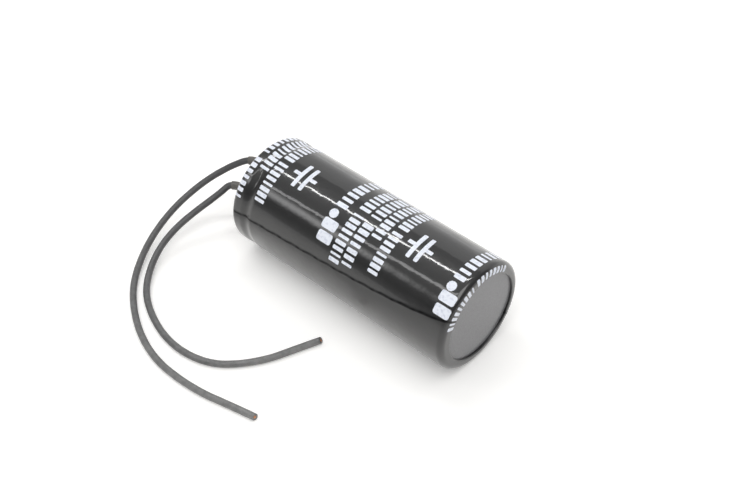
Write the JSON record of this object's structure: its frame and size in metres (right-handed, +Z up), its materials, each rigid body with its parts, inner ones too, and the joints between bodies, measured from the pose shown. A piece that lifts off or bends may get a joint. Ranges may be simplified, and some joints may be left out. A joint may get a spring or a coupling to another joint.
{
  "type": "motor start capacitor",
  "caption": "Cylindrical motor start capacitor in a shrunk plastic sleeve, with a recessed base disc, a rolled bead below its lid and flexible insulated leads that lie beside it.",
  "frame": {"origin": "on the table, below the middle of the can as it lies on its side", "axes": "+X along the can from the lid and leads to the base, +Z up, -Y towards the side where the leads lie"},
  "size_m": [0.1244, 0.094, 0.04],
  "materials": {
    "can_aluminium": "drawn aluminium",
    "sleeve_pvc": "black heat-shrunk PVC film, glossy",
    "disc_board": "dark grey pressed board, matt",
    "lid_phenolic": "dark phenolic laminate, punched",
    "seal_rubber": "black moulded rubber",
    "rivet_aluminium": "headed aluminium",
    "lug_tinned_brass": "punched brass, tinned",
    "solder": "soft solder, bright",
    "lead_pvc": "dark grey PVC, extruded",
    "lead_copper": "stranded bare copper, cut",
    "tubing_pvc": "dark grey shrunk tubing"
  },
  "bodies": {
    "root": {"can": "can_aluminium", "shrink_sleeve": "sleeve_pvc", "base_disc": "disc_board", "lid": "lid_phenolic", "lid_seal": "seal_rubber", "vent_plug": "seal_rubber", "upper_terminal_rivet": "rivet_aluminium", "lower_terminal_rivet": "rivet_aluminium", "upper_solder_lug": "lug_tinned_brass", "lower_solder_lug": "lug_tinned_brass", "upper_solder_joint": "solder", "lower_solder_joint": "solder", "upper_lead_insulation": "lead_pvc", "lower_lead_insulation": "lead_pvc", "upper_lead_conductor": "lead_copper", "lower_lead_conductor": "lead_copper", "upper_lead_tubing": "tubing_pvc", "lower_lead_tubing": "tubing_pvc"}
  },
  "joints": []
}
